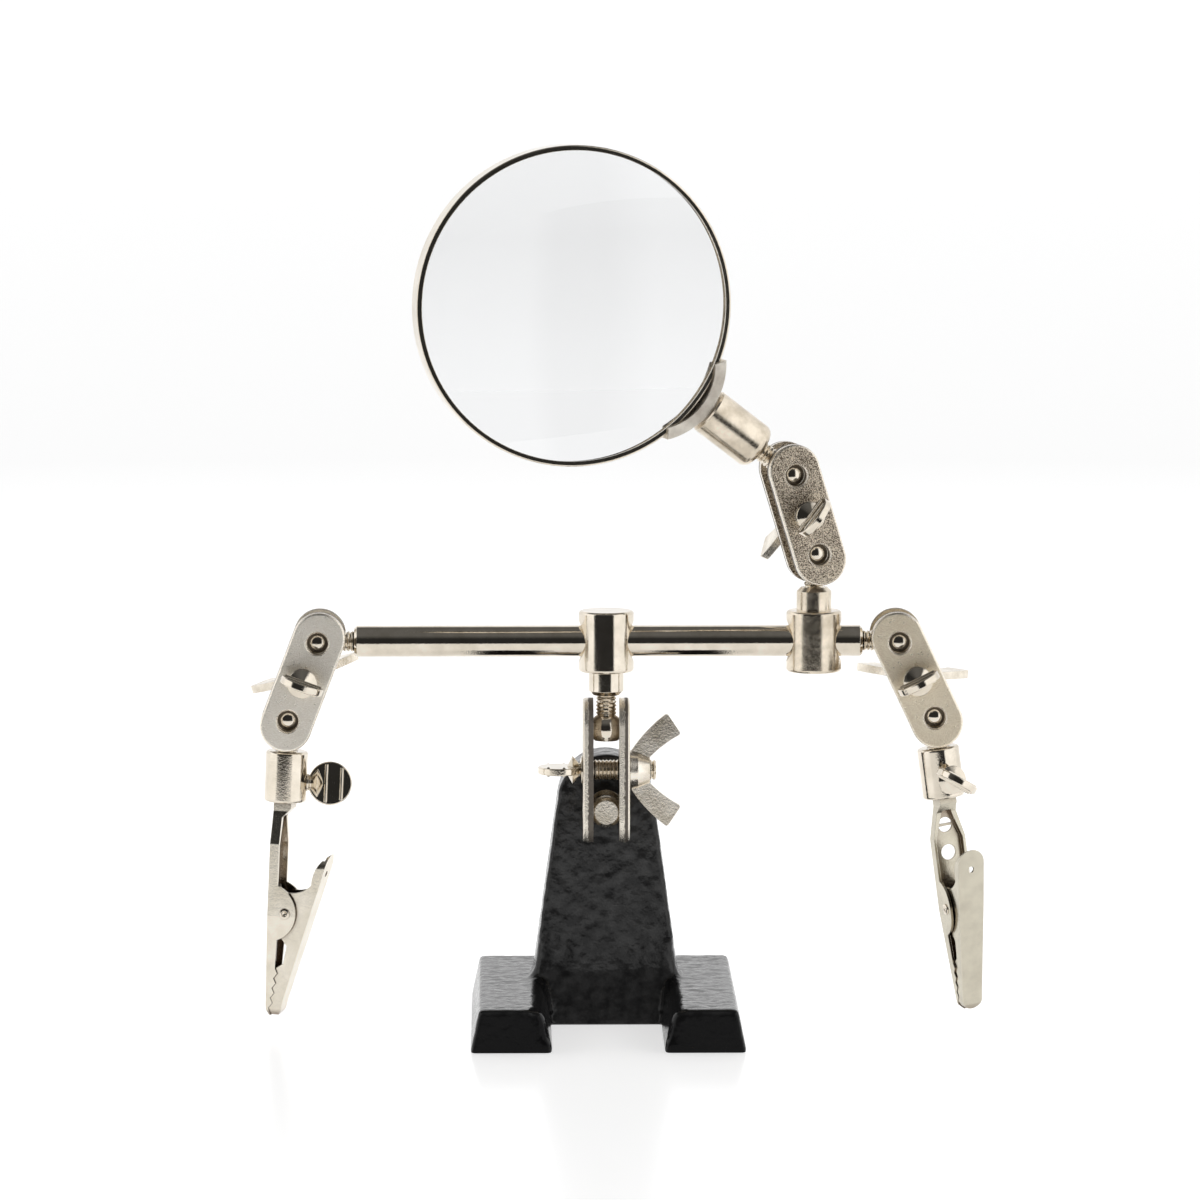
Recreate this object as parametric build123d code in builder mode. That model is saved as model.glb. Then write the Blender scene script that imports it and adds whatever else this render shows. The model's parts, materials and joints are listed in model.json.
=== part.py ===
"""Helping hands clamp: a cast base, a ball-jointed crossbar, two alligator clips and a lens.

Millimetres. +Z is up, +X runs along the crossbar to the lens end's side, and -Y faces the
user. The origin is the centre of the base's flat underside.
"""

from build123d import *
import math
import os

# Base casting
FOOT_LENGTH = 65.0
FOOT_OUTER = 52.4
FOOT_GAP = 20.9
FOOT_HEIGHT = 8.3
FOOT_DRAFT = 1.7
FOOT_ROUND = 0.8
UPRIGHT_FRONT = 4.2
UPRIGHT_THICK = 12.2
UPRIGHT_HALF_LOW = 14.6
UPRIGHT_TOP_RADIUS = 9.4
WEB_FRONT = -1.5
WEB_BACK = 21.0
UPRIGHT_FILLET = 1.0
UPRIGHT_ROOT = 3.0
WEB_TOP = FOOT_HEIGHT + 0.6
FOOT_CHAMFER = 0.6
SHOULDER_RISE = 0.7
BASE_STUD_DEPTH = 8.0
BASE_HOLE_DEPTH = 8.6

# Ball studs and the clamp plates that grip them
BALL_RADIUS = 3.2
NUB_RADIUS = 2.3
THREAD_MAJOR = 2.0
THREAD_MINOR = 1.7
THREAD_PITCH = 0.7
RUNNING_FIT = 0.05
STUD_REACH = 13.5
PLATE_LENGTH = 28.0
PLATE_WIDTH = 10.0
PLATE_THICK = 2.0
PLATE_GAP = 5.0
BALL_SPAN = 16.0
PLATE_ROUND = 0.5
HOLE_CHAMFER = 0.3

# Thumb screws and wing nuts
DISC_RADIUS = 4.2
DISC_THICK = 1.4
DISC_CENTRE = 4.45
RIB_CREST = 0.65
RIB_RADIUS = 0.3
RIB_OFFSETS = (-0.8, 2.2)
NUT_HEIGHT = 3.9
NUT_RADIUS = 3.8
WING_THICK = 1.5
WING_CORNER = 0.5
SCREW_PAST_NUT = 1.2
FACE_GAP = 0.05

# Crossbar and its two cross blocks
ROD_RADIUS = 3.0
ROD_LENGTH = 97.6
ROD_CENTRE_X = 0.4
BLOCK_RADIUS = 5.3
BLOCK_HEIGHT = 11.8
COLLAR_RADIUS = 3.35
COLLAR_END = 10.4
MOUTH_DEPTH = 1.9
ROD_HOLE_DEPTH = 7.5
STUD_FROM_ROD = 17.0
MAGNIFIER_X = 39.9

# Heights and the plane that all the ball joints share
ARM_Y = -2.4
BASE_BALL_Z = 42.0
BASE_COLLAR_THICK = 0.55
BASE_COLLAR_RADIUS = 3.25
END_BALL_OUT = 7.0

# Lens group
LENS_RADIUS = 30.0
RIM_RADIUS = 30.5
RIM_LIP = 1.0
RIM_DEPTH = 5.0
RIM_WALL = 0.5
LENS_SAG = 2.2
FERRULE_RADIUS = 4.5
FERRULE_START = 7.9
FERRULE_LENGTH = 12.7
FERRULE_HOLE_DEPTH = 7.0
BRACKET_HALF = 3.4

# Clips and the sockets that hold them
SOCKET_RADIUS = 4.05
SOCKET_START = 6.2
SOCKET_LENGTH = 9.8
SOCKET_SCREW = 6.0
SOCKET_TOP_HOLE = 3.0
THUMB_MAJOR = 1.5
THUMB_MINOR = 1.25
THUMB_FLANGE = 1.65
CLIP_STUD_REACH = 8.8
SHANK_RADIUS = 1.75
SHANK_IN_SOCKET = 6.6
SHEET = 0.5
CLIP_LENGTH = 41.7
FIXED_HALF = 3.3
MOVING_HALF = 2.7
TIP_HALF = 2.0
RIVET_X = 1.7
RIVET_D = 21.4
RIVET_PIN = 0.6
JAW_SPLIT = 0.03
TEETH = 4

# Angles in degrees
LEFT_LINK_TILT = -20.9
RIGHT_LINK_TILT = 25.3
LEFT_SOCKET_TILT = -2.5
RIGHT_SOCKET_TILT = 7.5
LEFT_CLIP_TURN = 15.0
RIGHT_CLIP_TURN = 70.0
LENS_YAW = 12.0
LENS_LINK_TILT = 17.0
FERRULE_RISE = 37.5

UP = Vector(0, 0, 1)
BACK = Vector(0, 1, 0)
RIGHT = Vector(1, 0, 0)
ROD_Z = BASE_BALL_Z + BALL_SPAN + STUD_FROM_ROD
PLATE_FACE = PLATE_GAP / 2 + PLATE_THICK


def write(piece, node):
    """Label a finished piece with its node's name and write its STEP file."""
    piece.part.label = node
    export_step(piece.part, f"parts/{node}.step")


def lean(tilt, along=RIGHT, start=-1):
    """Unit vector that points down (start=-1) or up (start=1), tipped by tilt towards along."""
    angle = math.radians(tilt)
    return along * math.sin(angle) + UP * (start * math.cos(angle))


def turning_plane(axis):
    """Profile plane of a turned piece: x is the radius and y runs along the plane's normal."""
    return Plane(origin=axis.origin, x_dir=axis.x_dir, z_dir=axis.x_dir.cross(axis.z_dir))


def spin_axis(axis):
    """Axis through the plane's origin along its normal."""
    return Axis(axis.origin, axis.z_dir)


def thread(start, end, major=THREAD_MAJOR, minor=THREAD_MINOR):
    """Outline of a thread's crests and roots from one height to another."""
    turns = max(1, round(abs(end - start) / THREAD_PITCH))
    step = (end - start) / turns
    outline = []
    for turn in range(turns):
        outline += [(minor, start + turn * step), (major, start + (turn + 0.5) * step)]
    return outline + [(minor, end)]


# ---------------------------------------------------------------- base


def make_base_casting():
    """H-shaped foot with a tapered, round-topped upright, cast in one piece."""
    side = FOOT_OUTER / 2
    inner = FOOT_GAP / 2
    with BuildPart() as casting:
        with BuildSketch(Plane.XZ.offset(-FOOT_LENGTH / 2)):
            with BuildLine():
                Polyline(
                    (inner, 0),
                    (side, 0),
                    (side - FOOT_DRAFT, FOOT_HEIGHT),
                    (inner + FOOT_DRAFT, FOOT_HEIGHT),
                    close=True,
                )
            make_face()
            mirror(about=Plane.YZ)
        extrude(amount=FOOT_LENGTH)
        fillet(casting.edges().filter_by(Axis.Y).group_by(Axis.Z)[-1], FOOT_ROUND)
        ends = casting.faces().filter_by(Axis.Y)
        chamfer(ends.edges().filter_by(Axis.Y, reverse=True).group_by(Axis.Z)[1:], FOOT_CHAMFER)

        with BuildSketch(Plane.YZ.offset(-side / 2)):
            with BuildLine():
                Polyline(
                    (WEB_FRONT, 0),
                    (WEB_BACK, 0),
                    (UPRIGHT_FRONT + UPRIGHT_THICK, WEB_TOP),
                    (UPRIGHT_FRONT, WEB_TOP),
                    close=True,
                )
            make_face()
        extrude(amount=side)
        with BuildSketch(Plane.XZ.offset(-UPRIGHT_FRONT)):
            with BuildLine():
                low = (UPRIGHT_HALF_LOW, FOOT_HEIGHT - UPRIGHT_ROOT)
                shoulder_z = BASE_BALL_Z + SHOULDER_RISE
                lean_angle = math.degrees(
                    math.atan2(UPRIGHT_HALF_LOW - UPRIGHT_TOP_RADIUS, shoulder_z - low[1])
                )
                shoulder = (
                    UPRIGHT_TOP_RADIUS * math.cos(math.radians(lean_angle)),
                    shoulder_z + UPRIGHT_TOP_RADIUS * math.sin(math.radians(lean_angle)),
                )
                crown = (0, shoulder_z + UPRIGHT_TOP_RADIUS)
                right = Line(low, shoulder)
                arch = ThreePointArc(shoulder, crown, (-shoulder[0], shoulder[1]))
                Polyline(arch @ 1, (-low[0], low[1]), right @ 0)
            make_face()
        extrude(amount=-UPRIGHT_THICK)
        middle_y = UPRIGHT_FRONT + UPRIGHT_THICK / 2
        above_feet = casting.edges().filter_by(lambda edge: edge.center().Z > FOOT_HEIGHT + 2.0)
        rim = above_feet.filter_by(
            lambda edge: abs(edge.center().Y - middle_y) > UPRIGHT_THICK / 2 - 0.1
        )
        fillet(rim, UPRIGHT_FILLET)
        with BuildSketch(Plane.XZ.offset(-UPRIGHT_FRONT)):
            with Locations((0, BASE_BALL_Z)):
                Circle(THREAD_MAJOR + RUNNING_FIT)
        extrude(amount=-BASE_HOLE_DEPTH, mode=Mode.SUBTRACT)
    return casting


# ---------------------------------------------------------------- ball studs


def make_ball_stud(axis, reach=STUD_REACH, collar=None):
    """Sawn-off ball on a threaded shank; axis starts at the ball's centre and points down it."""
    seat = math.sqrt(BALL_RADIUS**2 - THREAD_MINOR**2)
    nub = math.sqrt(BALL_RADIUS**2 - NUB_RADIUS**2)
    with BuildPart() as stud:
        with BuildSketch(turning_plane(axis)):
            with BuildLine():
                Polyline((0, reach), (0, -nub), (NUB_RADIUS, -nub))
                ThreePointArc((NUB_RADIUS, -nub), (BALL_RADIUS, 0), (THREAD_MINOR, seat))
                Polyline(*thread(seat, reach), (0, reach))
            make_face()
        revolve(axis=spin_axis(axis))
        if collar:
            low, high, radius = collar
            with BuildSketch(axis.offset(low)):
                Circle(radius)
            extrude(amount=high - low)
    return stud


# ---------------------------------------------------------------- clamp links


def make_link_plate(link, side):
    """Stadium plate of a clamp; link's x runs ball to ball, side is -1 or 1 along its normal."""
    with BuildPart() as plate:
        with BuildSketch(link.offset(side * PLATE_GAP / 2)):
            SlotOverall(PLATE_LENGTH, PLATE_WIDTH)
        extrude(amount=side * PLATE_THICK)
        outer_face = plate.faces().filter_by(Axis(link.origin, link.z_dir))
        outer_face = outer_face.sort_by(Axis(link.origin, link.z_dir * side))[-1]
        fillet(outer_face.edges(), PLATE_ROUND)
        with BuildSketch(link.offset(side * PLATE_FACE)):
            with Locations((-BALL_SPAN / 2, 0), (0, 0), (BALL_SPAN / 2, 0)):
                Circle(THREAD_MAJOR + RUNNING_FIT)
        extrude(amount=-side * PLATE_THICK, mode=Mode.SUBTRACT)
        with BuildSketch(link.offset(side * PLATE_FACE)):
            with Locations((-BALL_SPAN / 2, 0), (BALL_SPAN / 2, 0)):
                Circle(THREAD_MAJOR + RUNNING_FIT + HOLE_CHAMFER)
        extrude(amount=-side * HOLE_CHAMFER, taper=45, mode=Mode.SUBTRACT)
    return plate


def make_thumb_screw(seat, length, major=THREAD_MAJOR, minor=THREAD_MINOR, flange=2.7):
    """Screw with a flat ribbed disc for the fingers; seat's normal points out of the face it
    sits on and seat's x lies in the disc."""
    disc = Plane(origin=seat.origin, x_dir=seat.x_dir, z_dir=seat.x_dir.cross(seat.z_dir))
    with BuildPart() as screw:
        with BuildSketch(disc):
            with Locations((0, DISC_CENTRE)):
                Circle(DISC_RADIUS)
        extrude(amount=DISC_THICK / 2, both=True)
        fillet(screw.edges().filter_by(GeomType.CIRCLE), 0.25)
        for offset in RIB_OFFSETS:
            reach = math.sqrt(DISC_RADIUS**2 - offset**2) - 0.5
            middle = disc.from_local_coords((0, DISC_CENTRE + offset, 0))
            with BuildSketch(Plane(origin=middle, x_dir=disc.z_dir, z_dir=disc.x_dir)):
                SlotCenterToCenter(2 * RIB_CREST, 2 * RIB_RADIUS)
            extrude(amount=reach, both=True)
        with BuildSketch(turning_plane(seat)):
            with BuildLine():
                Polyline(
                    (0, -length),
                    *thread(-length, 0, major, minor),
                    (flange, 0),
                    (flange, 0.3),
                    (1.35, 0.6),
                    (1.35, 0.8),
                    (2.8, 2.0),
                    (0, 3.4),
                    close=True,
                )
            make_face()
        revolve(axis=spin_axis(seat))
    return screw


def make_wing_nut(seat):
    """Hub and two splayed wings; seat's normal is the screw's axis and seat's x a wing."""
    wing_plane = Plane(origin=seat.origin, x_dir=seat.x_dir, z_dir=seat.x_dir.cross(seat.z_dir))
    with BuildPart() as nut:
        with BuildSketch(turning_plane(seat)):
            with BuildLine():
                Polyline(
                    (0, FACE_GAP),
                    (NUT_RADIUS, FACE_GAP),
                    (NUT_RADIUS - 0.3, 1.6),
                    (NUT_RADIUS - 1.3, NUT_HEIGHT),
                    (0, NUT_HEIGHT),
                    close=True,
                )
            make_face()
        revolve(axis=spin_axis(seat))
        with BuildSketch(wing_plane) as wings:
            with BuildLine():
                outer = ThreePointArc((3.6, 0.25), (6.4, 2.3), (11.0, 7.2))
                tip = Line(outer @ 1, (7.0, 9.9))
                inner = ThreePointArc(tip @ 1, (4.2, 5.7), (2.2, 3.6))
                Polyline(inner @ 1, (1.0, 3.6), (1.0, 0.25), outer @ 0)
            make_face()
            fillet(wings.vertices().filter_by(lambda corner: corner.Y > 6.0), WING_CORNER)
            mirror(about=Plane.YZ)
        extrude(amount=WING_THICK / 2, both=True)
        with BuildSketch(seat):
            Circle(THREAD_MAJOR + RUNNING_FIT)
        extrude(amount=NUT_HEIGHT, mode=Mode.SUBTRACT)
    return nut


def write_link(link, grip, wing, names):
    """Write the two plates, the thumb screw and the wing nut of one clamp link."""
    front_seat = Plane(origin=link.offset(-PLATE_FACE).origin, x_dir=grip, z_dir=-link.z_dir)
    back_seat = Plane(origin=link.offset(PLATE_FACE).origin, x_dir=wing, z_dir=link.z_dir)
    screw_length = 2 * PLATE_FACE + NUT_HEIGHT + SCREW_PAST_NUT
    write(make_link_plate(link, -1), names[0])
    write(make_link_plate(link, 1), names[1])
    write(make_thumb_screw(front_seat, screw_length), names[2])
    write(make_wing_nut(back_seat), names[3])


# ---------------------------------------------------------------- crossbar


def make_cross_block(axis):
    """Round block with a cross hole for the rod and a collar; axis starts on the rod's
    centre line and points along the collar."""
    half = BLOCK_HEIGHT / 2
    with BuildPart() as block:
        with BuildSketch(turning_plane(axis)):
            with BuildLine():
                Polyline(
                    (0, -half),
                    (BLOCK_RADIUS, -half),
                    (BLOCK_RADIUS, half),
                    (COLLAR_RADIUS, half),
                    (COLLAR_RADIUS, COLLAR_END - 0.8),
                    (COLLAR_RADIUS - 0.8, COLLAR_END),
                    (0, COLLAR_END),
                    close=True,
                )
            make_face()
        revolve(axis=spin_axis(axis))
        rims = block.edges().filter_by(GeomType.CIRCLE)
        fillet(rims.filter_by(lambda edge: abs(edge.radius - BLOCK_RADIUS) < 0.01), 0.6)
        with BuildSketch(Plane.YZ.offset(axis.origin.X - BLOCK_RADIUS - 1.0)):
            with Locations((ARM_Y, ROD_Z)):
                Circle(ROD_RADIUS + RUNNING_FIT)
        extrude(amount=2 * BLOCK_RADIUS + 2.0, mode=Mode.SUBTRACT)
        for side in (-1, 1):
            mouth = Plane(
                origin=(axis.origin.X + side * BLOCK_RADIUS, ARM_Y, ROD_Z), z_dir=(-side, 0, 0)
            )
            with BuildSketch(mouth):
                Circle(ROD_RADIUS + 1.0)
            extrude(amount=MOUTH_DEPTH, taper=27, mode=Mode.SUBTRACT)
        with BuildSketch(axis.offset(1.0)):
            Circle(THREAD_MAJOR + RUNNING_FIT)
        extrude(amount=COLLAR_END, mode=Mode.SUBTRACT)
    return block


def make_rod():
    """Plain bar with chamfered ends, drilled for the two end studs."""
    with BuildPart() as rod:
        with BuildSketch(Plane.YZ.offset(ROD_CENTRE_X - ROD_LENGTH / 2)):
            with Locations((ARM_Y, ROD_Z)):
                Circle(ROD_RADIUS)
        extrude(amount=ROD_LENGTH)
        chamfer(rod.edges().filter_by(GeomType.CIRCLE), 0.5)
        for side in (-1, 1):
            end = Plane(
                origin=(ROD_CENTRE_X + side * ROD_LENGTH / 2, ARM_Y, ROD_Z), z_dir=(-side, 0, 0)
            )
            with BuildSketch(end):
                Circle(THREAD_MAJOR + RUNNING_FIT)
            extrude(amount=ROD_HOLE_DEPTH, mode=Mode.SUBTRACT)
    return rod


# ---------------------------------------------------------------- lens group


def make_ferrule(axis):
    """Handle stub between the upper ball stud and the lens bracket."""
    with BuildPart() as ferrule:
        with BuildSketch(axis.offset(FERRULE_START)):
            Circle(FERRULE_RADIUS)
        extrude(amount=FERRULE_LENGTH)
        near = ferrule.edges().sort_by(spin_axis(axis))[0]
        fillet(near, 1.6)
        far = ferrule.edges().sort_by(spin_axis(axis))[-1]
        chamfer(far, 0.3)
        with BuildSketch(axis.offset(FERRULE_START)):
            Circle(THREAD_MAJOR + RUNNING_FIT)
        extrude(amount=FERRULE_HOLE_DEPTH, mode=Mode.SUBTRACT)
    return ferrule


def make_lens_bracket(lens):
    """Saddle that grips the rim between two crescent cheeks; lens's x points to the ferrule."""
    rim_slot = RIM_DEPTH / 2 + 0.02
    boss_end = RIM_RADIUS + 3.0
    half_chord = 9.4
    outer_mid, outer_end = boss_end - 0.3, 29.8
    front_cheek = (-BRACKET_HALF, rim_slot, 31.2, 28.6)
    back_cheek = (rim_slot, BRACKET_HALF, 29.7, 28.2)
    with BuildPart() as bracket:
        for start, end, inner_mid, inner_end in (front_cheek, back_cheek):
            with BuildSketch(lens.offset(start)):
                with BuildLine():
                    outer = ThreePointArc(
                        (outer_end, -half_chord), (outer_mid, 0), (outer_end, half_chord)
                    )
                    inner = ThreePointArc(
                        (inner_end, half_chord - 1.9), (inner_mid, 0), (inner_end, 1.9 - half_chord)
                    )
                    Line(outer @ 1, inner @ 0)
                    Line(inner @ 1, outer @ 0)
                make_face()
            extrude(amount=end - start)
        with BuildSketch(lens.offset(-rim_slot)):
            Circle(RIM_RADIUS + 0.02)
        extrude(amount=2 * rim_slot, mode=Mode.SUBTRACT)
        seat = Plane(origin=lens.origin + lens.x_dir * 31.8, z_dir=lens.x_dir)
        with BuildSketch(seat):
            Circle(3.3)
        extrude(amount=boss_end - 31.8)
    return bracket


def make_lens_rim(lens):
    """Thin rolled ring with two lips that hold the glass."""
    half = RIM_DEPTH / 2
    lip = RIM_RADIUS - RIM_LIP
    with BuildPart() as rim:
        with BuildSketch(turning_plane(lens)) as section:
            with BuildLine():
                Polyline(
                    (lip, -half),
                    (RIM_RADIUS, -half),
                    (RIM_RADIUS, half),
                    (lip, half),
                    (lip, half - RIM_WALL),
                    (RIM_RADIUS - RIM_WALL, half - RIM_WALL),
                    (RIM_RADIUS - RIM_WALL, RIM_WALL - half),
                    (lip, RIM_WALL - half),
                    close=True,
                )
            make_face()
            fillet(section.vertices().group_by(Axis.X)[-1], 0.3)
        revolve(axis=spin_axis(lens))
    return rim


def make_lens_glass(lens):
    """Biconvex lens."""
    edge = RIM_DEPTH / 2 - RIM_WALL - 0.1
    radius = LENS_RADIUS - 0.02
    sag = LENS_SAG
    ball = (radius**2 + sag**2) / (2 * sag)
    with BuildPart() as glass:
        with BuildSketch(turning_plane(lens)):
            with BuildLine():
                Polyline((0, edge + sag), (0, -edge - sag))
                RadiusArc((0, -edge - sag), (radius, -edge), -ball)
                Line((radius, -edge), (radius, edge))
                RadiusArc((radius, edge), (0, edge + sag), -ball)
            make_face()
        revolve(axis=spin_axis(lens))
    return glass


# ---------------------------------------------------------------- clips


def make_socket(axis, screw_side):
    """Round socket between the clip's ball stud and the clip's shank."""
    top = axis.offset(SOCKET_START)
    with BuildPart() as socket:
        with BuildSketch(top):
            Circle(SOCKET_RADIUS)
        extrude(amount=SOCKET_LENGTH)
        fillet(socket.edges().filter_by(GeomType.CIRCLE), 0.5)
        with BuildSketch(top):
            Circle(THREAD_MAJOR + RUNNING_FIT)
        extrude(amount=SOCKET_TOP_HOLE, mode=Mode.SUBTRACT)
        with BuildSketch(top.offset(SOCKET_LENGTH)):
            Circle(SHANK_RADIUS + RUNNING_FIT)
        extrude(amount=-(SOCKET_LENGTH - SOCKET_TOP_HOLE), mode=Mode.SUBTRACT)
        with BuildSketch(Plane(origin=top.offset(SOCKET_SCREW).origin, z_dir=screw_side)):
            Circle(THUMB_MAJOR + RUNNING_FIT)
        extrude(amount=SOCKET_RADIUS + 1.0, mode=Mode.SUBTRACT)
    return socket


def side_plane(clip):
    """Side view of a clip: x towards the lever, y down the clip."""
    return Plane(origin=clip.origin, x_dir=clip.x_dir, z_dir=clip.x_dir.cross(clip.z_dir))


def width_plane(clip):
    """View onto a clip's back: x across the sheet's width, y down the clip."""
    across = clip.z_dir.cross(clip.x_dir)
    return Plane(origin=clip.origin, x_dir=across, z_dir=across.cross(clip.z_dir))


def tooth_line(shift):
    """Zigzag on which the jaws meet, from the notch down to the tip, moved sideways by shift."""
    top, bottom = (0.3, 32.3), (-0.85, 40.1)
    points = []
    for index in range(2 * TEETH + 1):
        share = index / (2 * TEETH)
        bite = 0.3 if index % 2 else -0.3
        x = top[0] + share * (bottom[0] - top[0]) + bite + shift
        points.append((x, top[1] + share * (bottom[1] - top[1])))
    return points


def make_fixed_jaw(clip):
    """Folded sheet jaw with its shank, cheeks, pivot ears and half of the teeth."""
    back = -SHANK_RADIUS
    ear_x = back + 5.6
    with BuildPart() as hollow:
        with BuildSketch(width_plane(clip)):
            with BuildLine():
                wide = FIXED_HALF - SHEET
                Polyline(
                    (-0.9, 2.6),
                    (-wide, 8.3),
                    (-wide, 22.0),
                    (SHEET - TIP_HALF, CLIP_LENGTH - SHEET),
                    (TIP_HALF - SHEET, CLIP_LENGTH - SHEET),
                    (wide, 22.0),
                    (wide, 8.3),
                    (0.9, 2.6),
                    close=True,
                )
            make_face()
        extrude(amount=12.0, both=True)
        with BuildSketch(side_plane(clip)):
            with Locations((back + SHEET, 0)):
                Rectangle(20, 60, align=(Align.MIN, Align.MIN))
        extrude(amount=12.0, both=True, mode=Mode.INTERSECT)
    with BuildPart() as jaw:
        with BuildSketch(side_plane(clip)):
            with BuildLine():
                Polyline((0.1, 16.1), (0.1, 3.0), (SHANK_RADIUS, 1.2), (SHANK_RADIUS, 0), (back, 0))
                Polyline((back, 0), (back, CLIP_LENGTH - 1.6), (back + 0.5, CLIP_LENGTH))
                Polyline((back + 0.5, CLIP_LENGTH), (-0.95, CLIP_LENGTH), tooth_line(-JAW_SPLIT)[-1])
                Polyline(*reversed(tooth_line(-JAW_SPLIT)), (0.2, 26.7))
                ThreePointArc((0.2, 26.7), (ear_x, RIVET_D), (0.1, 16.1))
            make_face()
        extrude(amount=FIXED_HALF, both=True)
        with BuildSketch(width_plane(clip)):
            with BuildLine():
                Polyline(
                    (-SHANK_RADIUS, -1),
                    (-SHANK_RADIUS, 1.8),
                    (-FIXED_HALF, 8.0),
                    (-FIXED_HALF, 22.0),
                    (-TIP_HALF, CLIP_LENGTH - 1.0),
                    (-TIP_HALF + 1.0, CLIP_LENGTH),
                    (TIP_HALF - 1.0, CLIP_LENGTH),
                    (TIP_HALF, CLIP_LENGTH - 1.0),
                    (FIXED_HALF, 22.0),
                    (FIXED_HALF, 8.0),
                    (SHANK_RADIUS, 1.8),
                    (SHANK_RADIUS, -1),
                    close=True,
                )
            make_face()
        extrude(amount=12.0, both=True, mode=Mode.INTERSECT)
        add(hollow.part, mode=Mode.SUBTRACT)
        with BuildSketch(clip.offset(-SHANK_IN_SOCKET)):
            Circle(SHANK_RADIUS)
        extrude(amount=SHANK_IN_SOCKET + 0.6)
        with BuildSketch(width_plane(clip)):
            with Locations((0, 5.6)):
                Circle(1.45)
                Rectangle(3.2, 0.5, mode=Mode.SUBTRACT)
            with Locations((0, 11.0)):
                Circle(1.5)
        extrude(amount=3.0, both=True, mode=Mode.SUBTRACT)
        with BuildSketch(side_plane(clip)):
            with Locations((RIVET_X, RIVET_D)):
                Circle(RIVET_PIN + RUNNING_FIT)
        extrude(amount=5.0, both=True, mode=Mode.SUBTRACT)
    return jaw


def make_moving_jaw(clip):
    """Folded sheet lever with its dished finger pad, cheeks and the other half of the teeth."""
    spine_top, spine_low = (9.9, 9.6), (1.6, CLIP_LENGTH - 3.0)
    slope = (spine_top[0] - spine_low[0]) / (spine_low[1] - spine_top[1])
    inset = SHEET * math.sqrt(1 + slope**2)
    pad = (0, 12.3)
    with BuildPart() as hollow:
        with BuildSketch(side_plane(clip)):
            with BuildLine():
                Polyline(
                    (spine_top[0] - inset + 3 * slope, spine_top[1] - 3),
                    (spine_low[0] - inset, spine_low[1]),
                    (0.6, CLIP_LENGTH - 0.7),
                    (-6.0, CLIP_LENGTH - 0.7),
                    (-6.0, spine_top[1] - 3),
                    close=True,
                )
            make_face()
        extrude(amount=12.0, both=True)
        with BuildSketch(width_plane(clip)):
            with BuildLine():
                low = MOVING_HALF - SHEET
                tip = TIP_HALF - SHEET
                Polyline((-low, 5), (-low, 17), (-tip, CLIP_LENGTH), (tip, CLIP_LENGTH))
                Polyline((tip, CLIP_LENGTH), (low, 17), (low, 5), (-low, 5))
            make_face()
        extrude(amount=12.0, both=True, mode=Mode.INTERSECT)
    with BuildPart() as jaw:
        with BuildSketch(side_plane(clip)):
            with BuildLine():
                Polyline(spine_top, spine_low, (1.2, CLIP_LENGTH - 1.0), (0.4, CLIP_LENGTH))
                Polyline((0.4, CLIP_LENGTH), (-0.85, CLIP_LENGTH), tooth_line(JAW_SPLIT)[-1])
                Polyline(*reversed(tooth_line(JAW_SPLIT)), (1.5, 31.3), (2.1, 27.8), (0.8, 26.2))
                ThreePointArc((0.8, 26.2), (0.0, 21.4), (1.6, 17.3))
                ThreePointArc((1.6, 17.3), (4.6, 17.0), (6.6, 15.6))
                ThreePointArc((6.6, 15.6), (7.5, 12.2), spine_top)
            make_face()
        extrude(amount=MOVING_HALF, both=True)
        with BuildSketch(width_plane(clip)):
            with BuildLine():
                Polyline(
                    (-MOVING_HALF, pad[1]),
                    (-MOVING_HALF + 0.1, 20.0),
                    (-TIP_HALF, CLIP_LENGTH - 1.7),
                )
                ThreePointArc(
                    (-TIP_HALF, CLIP_LENGTH - 1.7), (0, CLIP_LENGTH), (TIP_HALF, CLIP_LENGTH - 1.7)
                )
                Polyline(
                    (TIP_HALF, CLIP_LENGTH - 1.7),
                    (MOVING_HALF - 0.1, 20.0),
                    (MOVING_HALF, pad[1]),
                )
                ThreePointArc(
                    (MOVING_HALF, pad[1]), (0, pad[1] - MOVING_HALF), (-MOVING_HALF, pad[1])
                )
            make_face()
        extrude(amount=16.0, both=True, mode=Mode.INTERSECT)
        add(hollow.part, mode=Mode.SUBTRACT)
        with BuildSketch(width_plane(clip)):
            with Locations((0, pad[1] + 1.2)):
                Circle(0.6)
        extrude(amount=16.0, both=True, mode=Mode.SUBTRACT)
        with BuildSketch(side_plane(clip)):
            with Locations((RIVET_X, RIVET_D)):
                Circle(RIVET_PIN + RUNNING_FIT)
        extrude(amount=5.0, both=True, mode=Mode.SUBTRACT)
    return jaw


def make_rivet(clip):
    """Tubular rivet through both jaws."""
    side = side_plane(clip)
    centre = side.from_local_coords((RIVET_X, RIVET_D, 0))
    pin = Plane(origin=centre, x_dir=clip.x_dir, z_dir=side.z_dir)
    end = FIXED_HALF + 0.25
    with BuildPart() as rivet:
        with BuildSketch(turning_plane(pin)):
            with BuildLine():
                Polyline(
                    (0, end - 0.5),
                    (0.45, end - 0.2),
                    (0.6, end),
                    (1.0, end - 0.05),
                    (1.05, FIXED_HALF),
                    (RIVET_PIN, FIXED_HALF),
                    (RIVET_PIN, -FIXED_HALF),
                    (1.05, -FIXED_HALF),
                    (1.0, 0.05 - end),
                    (0.6, -end),
                    (0.45, 0.2 - end),
                    (0, 0.5 - end),
                    close=True,
                )
            make_face()
        revolve(axis=spin_axis(pin))
    return rivet


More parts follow.
